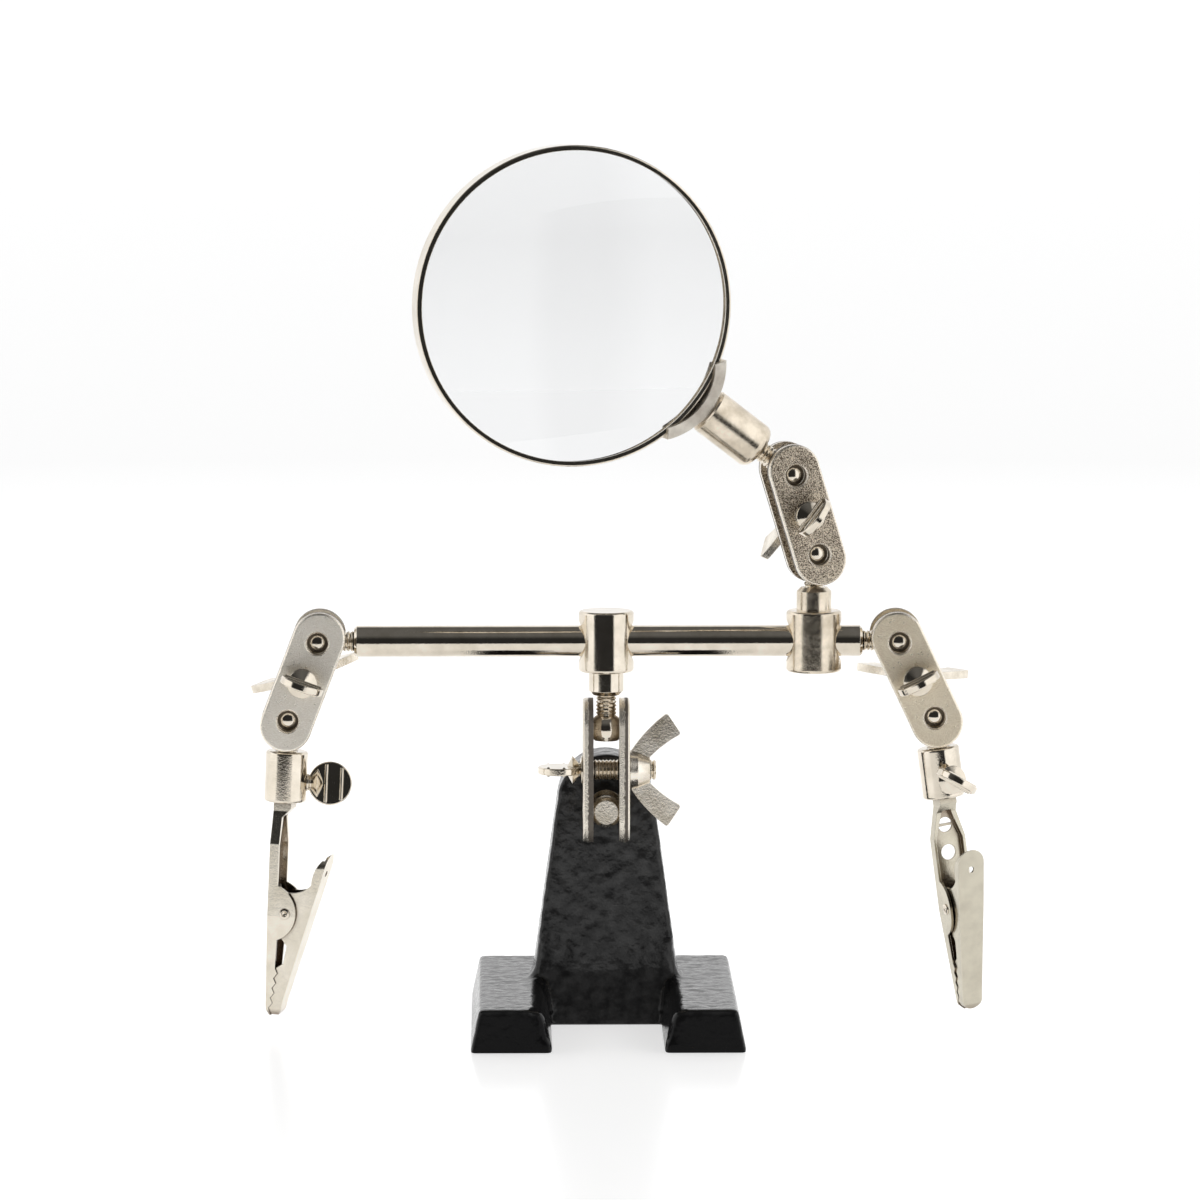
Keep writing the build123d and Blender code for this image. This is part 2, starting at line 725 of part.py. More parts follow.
def make_spring(clip):
    """Torsion spring round the rivet with a leg on each jaw."""
    side = side_plane(clip)
    wire, coil, half = 0.25, 1.15, 1.4
    turns = 3.5
    centre = side.from_local_coords((RIVET_X, RIVET_D, -half))
    coil_plane = Plane(origin=centre, x_dir=side.x_dir, z_dir=side.z_dir)
    path = coil_plane * Helix(pitch=2 * half / turns, height=2 * half, radius=coil)
    with BuildPart() as spring:
        with BuildSketch(Plane(origin=path @ 0, z_dir=path % 0)):
            Circle(wire)
        sweep(path=path)
        lever_end = side.from_local_coords((6.9, 16.2, -half))
        back_end = side.from_local_coords((-0.85, 16.4, half))
        for start, end in ((path @ 0, lever_end), (path @ 1, back_end)):
            with BuildSketch(Plane(origin=start, z_dir=end - start)):
                Circle(wire)
            extrude(amount=(end - start).length)
            with Locations(start):
                Sphere(1.05 * wire)
    return spring


# ---------------------------------------------------------------- assembly


def write_arm(side, ball, link_tilt, socket_tilt, screw_side, screw_grip, clip_turn, grip, wing):
    """Write one whole arm, from the rod's end stud to the clip."""
    outward = RIGHT if side == "right" else -RIGHT
    stud_axis = Plane(origin=ball, x_dir=UP, z_dir=-outward)
    write(make_ball_stud(stud_axis), f"rod_end_ball_stud_{side}")

    link_down = lean(link_tilt)
    link = Plane(origin=ball + link_down * (BALL_SPAN / 2), x_dir=link_down, z_dir=BACK)
    names = [f"link_{name}_{side}" for name in ("front_plate", "back_plate", "screw", "wing_nut")]
    write_link(link, grip, wing, names)

    clip_ball = ball + link_down * BALL_SPAN
    axis = Plane(origin=clip_ball, x_dir=BACK, z_dir=lean(socket_tilt))
    write(make_ball_stud(axis, CLIP_STUD_REACH), f"clip_ball_stud_{side}")
    write(make_socket(axis, screw_side), f"clip_socket_{side}")
    seat = Plane(
        origin=axis.offset(SOCKET_START + SOCKET_SCREW).origin + screw_side * SOCKET_RADIUS,
        x_dir=screw_grip,
        z_dir=screw_side,
    )
    thumb_length = SOCKET_RADIUS - SHANK_RADIUS - 0.1
    thumb = make_thumb_screw(seat, thumb_length, THUMB_MAJOR, THUMB_MINOR, THUMB_FLANGE)
    write(thumb, f"clip_thumb_screw_{side}")

    turn = math.radians(clip_turn)
    across = BACK.cross(axis.z_dir).normalized()
    lever = across * (1 if across.X > 0 else -1) * math.cos(turn) - BACK * math.sin(turn)
    bottom = axis.offset(SOCKET_START + SOCKET_LENGTH).origin
    clip = Plane(origin=bottom, x_dir=lever, z_dir=axis.z_dir)
    write(make_fixed_jaw(clip), f"clip_fixed_jaw_{side}")
    write(make_moving_jaw(clip), f"clip_moving_jaw_{side}")
    write(make_rivet(clip), f"clip_rivet_{side}")
    write(make_spring(clip), f"clip_spring_{side}")


def write_magnifier():
    """Write the lens group, from its cross block on the rod to the glass."""
    rod_point = Vector(MAGNIFIER_X, ARM_Y, ROD_Z)
    write(make_cross_block(Plane(origin=rod_point, x_dir=RIGHT, z_dir=UP)), "magnifier_block")
    ball = rod_point + UP * STUD_FROM_ROD
    write(make_ball_stud(Plane(origin=ball, x_dir=RIGHT, z_dir=-UP)), "magnifier_lower_ball_stud")

    yaw = math.radians(LENS_YAW)
    across = Vector(math.cos(yaw), math.sin(yaw), 0)
    normal = Vector(-math.sin(yaw), math.cos(yaw), 0)
    link_up = lean(-LENS_LINK_TILT, across, 1)
    link = Plane(origin=ball + link_up * (BALL_SPAN / 2), x_dir=link_up, z_dir=normal)
    grip = across * 0.6 + UP * 0.8
    wing = across * -0.43 - UP * 0.9
    names = [f"magnifier_link_{name}" for name in ("front_plate", "back_plate", "screw", "wing_nut")]
    write_link(link, grip, wing, names)

    upper = ball + link_up * BALL_SPAN
    rise = math.radians(FERRULE_RISE)
    radial = across * -math.cos(rise) + UP * math.sin(rise)
    axis = Plane(origin=upper, x_dir=normal, z_dir=radial)
    write(make_ball_stud(axis), "magnifier_upper_ball_stud")
    write(make_ferrule(axis), "magnifier_ferrule")
    centre = upper + radial * (FERRULE_START + FERRULE_LENGTH + RIM_RADIUS + 3.0)
    lens = Plane(origin=centre, x_dir=-radial, z_dir=normal)
    write(make_lens_bracket(lens), "lens_bracket")
    write(make_lens_rim(lens), "lens_rim")
    write(make_lens_glass(lens), "lens_glass")


def write_centre():
    """Write the base, the centre clamp and the crossbar."""
    write(make_base_casting(), "base_casting")
    low_ball = Vector(0, ARM_Y, BASE_BALL_Z)
    face = UPRIGHT_FRONT - ARM_Y
    collar = (face - BASE_COLLAR_THICK, face, BASE_COLLAR_RADIUS)
    stud_axis = Plane(origin=low_ball, x_dir=RIGHT, z_dir=BACK)
    stud = make_ball_stud(stud_axis, face + BASE_STUD_DEPTH, collar)
    write(stud, "base_ball_stud")
    link = Plane(origin=low_ball + UP * (BALL_SPAN / 2), x_dir=UP, z_dir=RIGHT)
    names = ["center_plate_left", "center_plate_right", "center_clamp_screw", "center_wing_nut"]
    write_link(link, BACK, UP, names)
    high_ball = low_ball + UP * BALL_SPAN
    write(make_ball_stud(Plane(origin=high_ball, x_dir=RIGHT, z_dir=UP)), "crossbar_ball_stud")
    rod_point = Vector(0, ARM_Y, ROD_Z)
    write(make_cross_block(Plane(origin=rod_point, x_dir=RIGHT, z_dir=-UP)), "crossbar_block")
    write(make_rod(), "crossbar_rod")


os.makedirs("parts", exist_ok=True)
write_centre()
end_ball = ROD_LENGTH / 2 + END_BALL_OUT
write_arm(
    "left",
    ball=Vector(ROD_CENTRE_X - end_ball, ARM_Y, ROD_Z),
    link_tilt=LEFT_LINK_TILT,
    socket_tilt=LEFT_SOCKET_TILT,
    screw_side=lean(90 + LEFT_SOCKET_TILT),
    screw_grip=(lean(LEFT_SOCKET_TILT) - BACK * 0.07).normalized(),
    clip_turn=LEFT_CLIP_TURN,
    grip=lean(70),
    wing=lean(-72),
)
write_arm(
    "right",
    ball=Vector(ROD_CENTRE_X + end_ball, ARM_Y, ROD_Z),
    link_tilt=RIGHT_LINK_TILT,
    socket_tilt=RIGHT_SOCKET_TILT,
    screw_side=(lean(90 + RIGHT_SOCKET_TILT) * 0.28 - BACK * 0.96).normalized(),
    screw_grip=(lean(58) * 0.96 + BACK * 0.28).normalized(),
    clip_turn=RIGHT_CLIP_TURN,
    grip=lean(117),
    wing=lean(86),
)
write_magnifier()
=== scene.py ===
"""Helping hands clamp: looks, stage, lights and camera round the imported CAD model."""

import json
import math

import bmesh
import bpy
import mathutils.noise
import numpy as np
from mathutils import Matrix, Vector

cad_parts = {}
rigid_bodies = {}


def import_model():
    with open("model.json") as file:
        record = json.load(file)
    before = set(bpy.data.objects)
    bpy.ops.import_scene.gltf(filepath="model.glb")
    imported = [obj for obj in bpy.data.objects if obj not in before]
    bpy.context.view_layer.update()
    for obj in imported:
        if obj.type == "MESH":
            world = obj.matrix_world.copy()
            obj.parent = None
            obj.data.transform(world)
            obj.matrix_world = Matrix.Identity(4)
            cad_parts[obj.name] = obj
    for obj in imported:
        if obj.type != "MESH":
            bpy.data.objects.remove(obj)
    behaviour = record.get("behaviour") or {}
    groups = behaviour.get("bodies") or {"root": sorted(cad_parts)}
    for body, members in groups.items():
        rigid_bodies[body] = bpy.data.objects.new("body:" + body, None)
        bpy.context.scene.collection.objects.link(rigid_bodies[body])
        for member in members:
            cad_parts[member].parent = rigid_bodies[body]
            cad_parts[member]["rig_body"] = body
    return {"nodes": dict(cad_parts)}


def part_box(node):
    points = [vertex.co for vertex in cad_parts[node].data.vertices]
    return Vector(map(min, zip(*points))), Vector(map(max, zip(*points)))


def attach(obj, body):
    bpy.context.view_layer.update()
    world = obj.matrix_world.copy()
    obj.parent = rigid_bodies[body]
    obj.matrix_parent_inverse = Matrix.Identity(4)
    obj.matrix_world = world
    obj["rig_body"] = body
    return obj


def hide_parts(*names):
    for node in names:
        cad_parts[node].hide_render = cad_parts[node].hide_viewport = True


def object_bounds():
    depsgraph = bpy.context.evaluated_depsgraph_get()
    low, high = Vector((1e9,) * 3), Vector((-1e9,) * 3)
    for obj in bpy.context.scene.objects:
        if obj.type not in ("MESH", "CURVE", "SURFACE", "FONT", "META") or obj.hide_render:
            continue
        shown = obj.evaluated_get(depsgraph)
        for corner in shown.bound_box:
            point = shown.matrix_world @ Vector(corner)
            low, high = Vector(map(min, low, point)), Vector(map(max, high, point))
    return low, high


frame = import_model()
CAD_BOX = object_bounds()
NODES = frame["nodes"]

# Camera. Every length in this file is in metres unless its name says otherwise.
AIM = Vector((-0.0012, -0.0024, 0.0829))
DISTANCE = 1.33
PITCH = math.radians(6.43)
YAW = math.radians(0.81)
FOCAL_MM = 207.8

# Plated metal
EDGE_ROUND = 0.00015
EDGE_SAMPLES = 4
HOLLOW_REACH = 0.006
HOLLOW_SAMPLES = 6
TEAR_DEPTH = 0.00025
TEAR_WANDER = 0.0006
TEAR_BLUR = 0.00003
# Brighter colour on edges and cut edges: partly wear, partly a painted highlight.
WEAR_AND_HIGHLIGHT = (0.88, 0.82, 0.72)
TORN = (0.07, 0.055, 0.045)
# Brown painted into the hollows of bent sheet: painted shade.
PAINTED_HOLLOW_SHADE = (0.16, 0.105, 0.07)
# Left and right link plates are the same satin steel: the left's are painted paler and the right's
# warmer and darker, painted light and shade.
PAINTED_LIT_PLATE = ((1.0, 0.95, 0.86), (0.84, 0.78, 0.68))
WARM_PLATE = ((1.0, 0.90, 0.72), (0.78, 0.67, 0.50))
DULL_PLATE = ((0.80, 0.70, 0.56), (0.10, 0.075, 0.055))
# Left link plates get the painted lit tone, right link plates the painted shaded tone.
PLATE_TONES = {
    "link_front_plate_left": PAINTED_LIT_PLATE,
    "link_back_plate_left": PAINTED_LIT_PLATE,
    "link_front_plate_right": WARM_PLATE,
    "link_back_plate_right": WARM_PLATE,
}
PLATE_ROUGH = (0.24, 0.42)
PLATE_GRAIN = 4200.0
PLATE_GRAIN_DEPTH = 0.0001
# Each finish: light tone, dark tone, roughness range, grain scale, grain depth.
FINISHES = {
    "bright_nickel": ((0.80, 0.73, 0.625), (0.66, 0.595, 0.49), (0.03, 0.085), 3000.0, 0.00001),
    "aged_nickel": ((0.82, 0.73, 0.60), (0.52, 0.45, 0.35), (0.12, 0.26), 3000.0, 0.00001),
    "cast_nickel": ((0.92, 0.86, 0.76), (0.64, 0.57, 0.46), (0.16, 0.30), 2200.0, 0.00003),
    "clip_nickel_left": ((0.86, 0.80, 0.69), (0.74, 0.68, 0.56), (0.12, 0.24), 2600.0, 0.000015),
    # The right clip's jaws are the same nickel sheet as the left's, painted darker: a painted
    # shade.
    "clip_nickel_painted_shade_right": ((0.62, 0.58, 0.475), (0.53, 0.49, 0.40), (0.12, 0.24), 2600.0, 0.000015),
    "spring_steel": ((0.30, 0.27, 0.24), (0.20, 0.18, 0.15), (0.25, 0.4), 3000.0, 0.00001),
    "bracket_nickel": ((0.98, 0.93, 0.84), (0.66, 0.60, 0.52), (0.5, 0.7), 2600.0, 0.00006),
}

# Enamelled casting: LUMP and PIT move the skin itself, LUMP_BUMP and PEEL_BUMP only its shading.
ENAMEL_DARK = (0.005, 0.005, 0.0055)
ENAMEL_LIGHT = (0.011, 0.0108, 0.0108)
# Paler tone painted on the front-facing faces of the casting: painted light.
ENAMEL_PAINTED_LIGHT = (0.050, 0.0495, 0.0495)
ENAMEL_SPECULAR = 0.27
FOOT_END_SPECULAR = 0.08
LUMP_BUMP = 0.00016
PEEL_BUMP = 0.00005
FOOT_TOP = 0.0083
FOOT_INNER = 0.01045
VOXEL = 0.0004
CAST_ROUNDS = 9
COVE_ROUNDS = 120
COVE_OUTER = FOOT_INNER + 0.0045
COVE_BACK = 0.012
COVE_HEIGHTS = (0.002, 0.016)
LUMP = 0.00012
PIT = 0.00006
LUMP_SCALE = 430.0
PIT_SCALE = 900.0
PIT_SHIFT = Vector((7.0, 3.0, 1.0))
FOOT_CALM = 0.35
CALM_BOTTOM = 0.0015

# Lens
GLASS_TINT = (0.91, 0.915, 0.92, 1.0)
GLASS_IOR = 1.5
LENS_RINGS = 24
LENS_STEPS = 128
SHARP_TURN = 0.5
EDGE_BAND = 0.0001

# Studio: wall edges are in degrees of azimuth, 0 towards the camera and positive to the right.
# WALL_TOP, OVERHEAD_RISE and BEHIND_RISE are where a direction's z or y starts and ends a change.
FLOOR_FRONT = -0.33
FLOOR_BACK = 60.0
FLOOR_SIDE = 30.0
FLOOR_DROP = 0.00005
GLOW_REACH = (0.25, 1.2)
RIGHT_WALL = (28, 34)
LEFT_WALL = (-50, -56)
WALL_TOP = (0.62, 0.78)
OVERHEAD_RISE = (0.3, 0.75)
BEHIND_RISE = (0.1, 0.5)
GLOW_NEAR = 0.6
GLOW_FAR = 0.31
ROOM = 0.022
OVERHEAD = 0.11
WALLS = 1.25
WALL_BEHIND = 1.03


# ---------------------------------------------------------------- node helpers


def new_material(name):
    """Empty node material with a Principled shader wired to its output."""
    material = bpy.data.materials.new(name)
    material.use_nodes = True
    return material, material.node_tree.nodes, material.node_tree.links


def noise(nodes, links, vector, scale, detail=4.0, roughness=0.55):
    """Noise texture in object space; returns its value output."""
    texture = nodes.new("ShaderNodeTexNoise")
    texture.inputs["Scale"].default_value = scale
    texture.inputs["Detail"].default_value = detail
    texture.inputs["Roughness"].default_value = roughness
    links.new(vector, texture.inputs["Vector"])
    return texture.outputs["Fac"]


def remap(nodes, links, value, low, high, start=0.0, end=1.0):
    """Map Range from start..end to low..high."""
    ranged = nodes.new("ShaderNodeMapRange")
    ranged.inputs["From Min"].default_value = start
    ranged.inputs["From Max"].default_value = end
    ranged.inputs["To Min"].default_value = low
    ranged.inputs["To Max"].default_value = high
    links.new(value, ranged.inputs["Value"])
    return ranged.outputs["Result"]


def blend_colour(nodes, links, factor, first, second):
    """Mix two fixed colours by a value."""
    mixed = nodes.new("ShaderNodeMix")
    mixed.data_type = "RGBA"
    mixed.inputs["A"].default_value = (*first, 1.0)
    mixed.inputs["B"].default_value = (*second, 1.0)
    links.new(factor, mixed.inputs["Factor"])
    return mixed.outputs["Result"]


def math_node(nodes, links, operation, first, second=None):
    """One Math node on one or two values; a number stays a fixed input."""
    node = nodes.new("ShaderNodeMath")
    node.operation = operation
    for slot, value in zip(node.inputs, (first, second)):
        if isinstance(value, (int, float)):
            slot.default_value = value
        elif value is not None:
            links.new(value, slot)
    return node.outputs["Value"]


def bump(nodes, links, height, distance, strength=1.0, normal=None):
    """Bump from a height, optionally on top of another bump."""
    node = nodes.new("ShaderNodeBump")
    node.inputs["Distance"].default_value = distance
    node.inputs["Strength"].default_value = strength
    links.new(height, node.inputs["Height"])
    if normal:
        links.new(normal, node.inputs["Normal"])
    return node.outputs["Normal"]


# ---------------------------------------------------------------- materials


def edge_mask(nodes, links, radius):
    """1 on outer edges and corners, 0 on flats, with the rounded normal that found them."""
    rounded = nodes.new("ShaderNodeBevel")
    rounded.samples = EDGE_SAMPLES
    rounded.inputs["Radius"].default_value = radius
    geometry = nodes.new("ShaderNodeNewGeometry")
    match = nodes.new("ShaderNodeVectorMath")
    match.operation = "DOT_PRODUCT"
    links.new(rounded.outputs["Normal"], match.inputs[0])
    links.new(geometry.outputs["Normal"], match.inputs[1])
    edges = remap(nodes, links, match.outputs["Value"], 1.0, 0.0, 0.80, 0.995)
    return edges, rounded.outputs["Normal"]


def layer(nodes, links, factor, below, above):
    """A fixed colour laid over a colour output by a factor."""
    mixed = nodes.new("ShaderNodeMix")
    mixed.data_type = "RGBA"
    mixed.inputs["B"].default_value = (*above, 1.0)
    links.new(factor, mixed.inputs["Factor"])
    links.new(below, mixed.inputs["A"])
    return mixed.outputs["Result"]


def plated_metal(name, light, dark, rough, grain, grain_depth, shear=None, shade_hollows=False):
    """Nickel plate: cloudy tone, patchy polish, a fine grain and brighter edges, partly worn and
    partly a painted highlight.

    rough is its lowest and highest roughness. shear is (direction, middle) of a stamped plate:
    its faces are speckled, and its cut edge is half burnished and half torn. Its last argument
    paints brown shade into the hollows of bent sheet, by ambient occlusion.
    """
    material, nodes, links = new_material(name)
    shader = nodes["Principled BSDF"]
    shader.inputs["Metallic"].default_value = 1.0
    place = nodes.new("ShaderNodeTexCoord").outputs["Object"]
    cloud = noise(nodes, links, place, 260.0, 4.0)
    if shear:
        speck = noise(nodes, links, place, 5200.0, 2.0, 0.5)
        speck = math_node(nodes, links, "ADD", speck, remap(nodes, links, cloud, -0.1, 0.1))
        tone = remap(nodes, links, speck, 0.0, 1.0, 0.43, 0.57)
    else:
        tone = remap(nodes, links, cloud, 0.0, 1.0, 0.35, 0.7)
    colour = blend_colour(nodes, links, tone, light, dark)
    edges, rounded = edge_mask(nodes, links, EDGE_ROUND)
    # Edges and corners are painted brighter in patches: partly rubbed wear, partly a painted
    # highlight on the rounded rim.
    edge_patches = remap(nodes, links, cloud, 0.2, 0.9, 0.4, 0.65)
    wear_and_highlight = math_node(nodes, links, "MULTIPLY", edges, edge_patches)
    colour = layer(nodes, links, wear_and_highlight, colour, WEAR_AND_HIGHLIGHT)
    patch = noise(nodes, links, place, 900.0, 5.0, 0.7)
    polish = remap(nodes, links, patch, *rough, 0.3, 0.7)
    polish = math_node(nodes, links, "MULTIPLY", polish, remap(nodes, links, wear_and_highlight, 1.0, 0.55))
    fine = noise(nodes, links, place, grain, 3.0, 0.65)
    shape = bump(nodes, links, fine, grain_depth, 1.0, rounded)
    if shear:
        side, torn = torn_edge(nodes, links, place, *shear)
        # The whole cut edge is painted brighter too: partly burnish, partly a painted highlight.
        colour = layer(nodes, links, math_node(nodes, links, "MULTIPLY", side, 0.9), colour, WEAR_AND_HIGHLIGHT)
        polish = math_node(nodes, links, "MULTIPLY", polish, remap(nodes, links, side, 1.0, 0.35))
        ragged = noise(nodes, links, place, 1500.0, 4.0, 0.7)
        ragged = math_node(nodes, links, "MULTIPLY", ragged, torn)
        shape = bump(nodes, links, ragged, TEAR_DEPTH, 1.0, shape)
        matte = math_node(nodes, links, "MULTIPLY", torn, 0.5)
        polish = math_node(nodes, links, "MAXIMUM", polish, matte)
        colour = layer(nodes, links, math_node(nodes, links, "MULTIPLY", torn, 0.85), colour, TORN)
    # Painted shade: the hollows of bent sheet are browned by ambient occlusion.
    if shade_hollows:
        hollow = nodes.new("ShaderNodeAmbientOcclusion")
        hollow.samples = HOLLOW_SAMPLES
        hollow.inputs["Distance"].default_value = HOLLOW_REACH
        shade = remap(nodes, links, hollow.outputs["AO"], 0.9, 0.0, 0.35, 0.88)
        colour = layer(nodes, links, shade, colour, PAINTED_HOLLOW_SHADE)
    links.new(colour, shader.inputs["Base Color"])
    links.new(polish, shader.inputs["Roughness"])
    links.new(shape, shader.inputs["Normal"])
    return material


def torn_edge(nodes, links, place, direction, middle):
    """Two masks of a stamped plate: its whole cut edge and rounded rim, and the torn half."""
    across = nodes.new("ShaderNodeVectorMath")
    across.operation = "DOT_PRODUCT"
    links.new(place, across.inputs[0])
    across.inputs[1].default_value = direction
    ragged = noise(nodes, links, place, 1100.0, 4.0, 0.7)
    ragged = remap(nodes, links, ragged, -TEAR_WANDER, TEAR_WANDER)
    depth = math_node(nodes, links, "ADD", across.outputs["Value"], ragged)
    half = remap(nodes, links, depth, 0.0, 1.0, middle - TEAR_BLUR, middle + TEAR_BLUR)
    facing = nodes.new("ShaderNodeVectorMath")
    facing.operation = "DOT_PRODUCT"
    links.new(nodes.new("ShaderNodeNewGeometry").outputs["Normal"], facing.inputs[0])
    facing.inputs[1].default_value = direction
    flat = math_node(nodes, links, "ABSOLUTE", facing.outputs["Value"])
    side = remap(nodes, links, flat, 1.0, 0.0, 0.90, 0.985)
    cut = remap(nodes, links, flat, 1.0, 0.0, 0.2, 0.35)
    return side, math_node(nodes, links, "MULTIPLY", half, cut)


def plate_axis(node):
    """Unit normal of a flat plate, and how far along it the plate's middle lies."""
    points = np.array([vertex.co for vertex in NODES[node].data.vertices])
    centre = (points.min(axis=0) + points.max(axis=0)) / 2
    spread = np.linalg.eigh(np.cov((points - centre).T))
    direction = spread[1][:, 0]
    along = points @ direction
    return tuple(direction), float((along.min() + along.max()) / 2)


def black_enamel(foot_top):
    """Thick glossy black paint over a rough casting: front-facing faces are painted paler, a
    painted light, all but the foot ends, which are also less glossy.
    """
    material, nodes, links = new_material("black_enamel")
    shader = nodes["Principled BSDF"]
    place = nodes.new("ShaderNodeTexCoord").outputs["Object"]
    cloud = noise(nodes, links, place, 60.0, 3.0)
    colour = blend_colour(nodes, links, cloud, ENAMEL_DARK, ENAMEL_LIGHT)
    split = nodes.new("ShaderNodeSeparateXYZ")
    links.new(place, split.inputs["Vector"])
    normal = nodes.new("ShaderNodeSeparateXYZ")
    links.new(nodes.new("ShaderNodeNewGeometry").outputs["Normal"], normal.inputs["Vector"])
    front = remap(nodes, links, normal.outputs["Y"], 1.0, 0.0, -0.85, -0.6)
    sideways = math_node(nodes, links, "ABSOLUTE", split.outputs["X"])
    outside = remap(nodes, links, sideways, 0.0, 1.0, FOOT_INNER - 0.001, FOOT_INNER + 0.001)
    low = remap(nodes, links, split.outputs["Z"], 1.0, 0.0, foot_top - 0.0012, foot_top)
    on_foot = math_node(nodes, links, "MULTIPLY", outside, low)
    end = math_node(nodes, links, "MULTIPLY", front, on_foot)
    specular = remap(nodes, links, end, ENAMEL_SPECULAR, FOOT_END_SPECULAR)
    links.new(specular, shader.inputs["Specular IOR Level"])
    painted_light_patches = noise(nodes, links, place, 420.0, 3.0)
    painted_light_patches = remap(nodes, links, painted_light_patches, 0.2, 1.0, 0.35, 0.65)
    # Painted light: front-facing faces, all but the foot ends, get a patchy paler tone as if lit
    # from the front.
    painted_light = math_node(nodes, links, "SUBTRACT", front, end)
    painted_light = math_node(nodes, links, "MULTIPLY", painted_light, painted_light_patches)
    colour = layer(nodes, links, painted_light, colour, ENAMEL_PAINTED_LIGHT)
    links.new(colour, shader.inputs["Base Color"])
    dust = noise(nodes, links, place, 900.0, 5.0)
    links.new(remap(nodes, links, dust, 0.10, 0.24, 0.35, 0.65), shader.inputs["Roughness"])
    lumps = noise(nodes, links, place, 700.0, 2.0)
    peel = noise(nodes, links, place, 1500.0, 2.0)
    soft = bump(nodes, links, lumps, LUMP_BUMP, 0.8)
    links.new(bump(nodes, links, peel, PEEL_BUMP, 0.6, soft), shader.inputs["Normal"])
    return material


def clear_glass():
    """Polished lens glass."""
    material, nodes, links = new_material("lens_glass")
    shader = nodes["Principled BSDF"]
    shader.inputs["Base Color"].default_value = GLASS_TINT
    shader.inputs["Transmission Weight"].default_value = 1.0
    shader.inputs["Roughness"].default_value = 0.0
    shader.inputs["IOR"].default_value = GLASS_IOR
    return material


def finish_of(node):
    """Name of the plain finish that a node has."""
    if node == "lens_bracket":
        return "bracket_nickel"
    if node in ("magnifier_ferrule", "magnifier_block"):
        return "aged_nickel"
    if "wing_nut" in node or node == "base_ball_stud":
        return "cast_nickel"
    if "jaw" in node:
        # The right clip's jaws take the darker copy of the same nickel, a painted shade.
        return "clip_nickel_left" if node.endswith("left") else "clip_nickel_painted_shade_right"
    if "spring" in node:
        return "spring_steel"
    return "bright_nickel"


def dress_nodes():
    """Give every carried-over CAD node its material."""
    # The clip finishes get brown shade painted into their hollows.
    finishes = {
        name: plated_metal(name, *look, shade_hollows=name.startswith("clip"))
        for name, look in FINISHES.items()
    }
    for name in sorted(NODES):
        if "plate" in name:
            light, dark = PLATE_TONES.get(name, DULL_PLATE)
            material = plated_metal(
                "satin_" + name,
                light,
                dark,
                PLATE_ROUGH,
                PLATE_GRAIN,
                PLATE_GRAIN_DEPTH,
                shear=plate_axis(name),
            )
        else:
            material = finishes[finish_of(name)]
        mesh = NODES[name].data
        mesh.materials.clear()
        mesh.materials.append(material)


# ---------------------------------------------------------------- detailed pieces


def stand_in(name, mesh, node, material):
    """Link a piece, ride it on its node's body and let it replace the node."""
    mesh.materials.clear()
    mesh.materials.append(material)
    piece = bpy.data.objects.new(name, mesh)
    bpy.context.scene.collection.objects.link(piece)
    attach(piece, NODES[node]["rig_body"])
    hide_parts(node)


def soften(holder, rounds, group=""):
    """Add a smooth modifier, for a vertex group or for the whole mesh."""
    smooth = holder.modifiers.new("smooth", "SMOOTH")
    smooth.factor = 0.5
    smooth.iterations = rounds
    smooth.vertex_group = group


def applied(holder):
    """New mesh of an object with its modifiers applied."""
    graph = bpy.context.evaluated_depsgraph_get()
    return bpy.data.meshes.new_from_object(holder.evaluated_get(graph), depsgraph=graph)


def cast_copy(node, in_cove):
    """Mesh of a CAD node with its sharp edges softened, as a casting has, and softened further
    where in_cove holds for a point."""
    holder = bpy.data.objects.new("holder", NODES[node].data.copy())
    bpy.context.scene.collection.objects.link(holder)
    remesh = holder.modifiers.new("remesh", "REMESH")
    remesh.mode = "VOXEL"
    remesh.voxel_size = VOXEL
    soften(holder, CAST_ROUNDS)
    mesh = applied(holder)
    holder.modifiers.clear()
    holder.data = mesh
    group = holder.vertex_groups.new(name="coves")
    group.add([v.index for v in mesh.vertices if in_cove(v.co)], 1.0, "REPLACE")
    soften(holder, COVE_ROUNDS, "coves")
    mesh = applied(holder)
    bpy.data.objects.remove(holder)
    for polygon in mesh.polygons:
        polygon.use_smooth = True
    return mesh


def make_casting():
    """Base with cast fillets and a lumpy, thickly painted skin."""
    low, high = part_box("base_casting")
    foot_top = low.z + FOOT_TOP

    def in_cove(point):
        bottom, top = COVE_HEIGHTS
        inside = abs(point.x) < COVE_OUTER and point.y < COVE_BACK
        return inside and bottom < point.z - low.z < top

    mesh = cast_copy("base_casting", in_cove)
    count = 3 * len(mesh.vertices)
    places = np.empty(count, np.float32)
    normals = np.empty(count, np.float32)
    mesh.vertices.foreach_get("co", places)
    mesh.vertex_normals.foreach_get("vector", normals)
    places = places.reshape(-1, 3)
    normals = normals.reshape(-1, 3)
    lifts = np.empty(len(places), np.float32)
    for index, place in enumerate(places):
        point = Vector(place)
        coarse = mathutils.noise.noise(point * LUMP_SCALE)
        fine = mathutils.noise.noise(point * PIT_SCALE + PIT_SHIFT)
        lifts[index] = coarse * LUMP + fine * PIT - LUMP * 0.3
    rough_part = (np.abs(places[:, 0]) < FOOT_INNER) | (places[:, 2] > foot_top)
    calm = np.where(rough_part, 1.0, FOOT_CALM)
    calm *= np.clip((places[:, 2] - low.z) / CALM_BOTTOM, 0.0, 1.0)
    places += normals * (lifts * calm)[:, None]
    places = np.clip(places, np.array(low), np.array(high)).astype(np.float32)
    mesh.vertices.foreach_set("co", places.ravel())
    mesh.update()
    stand_in("painted_base", mesh, "base_casting", black_enamel(foot_top))


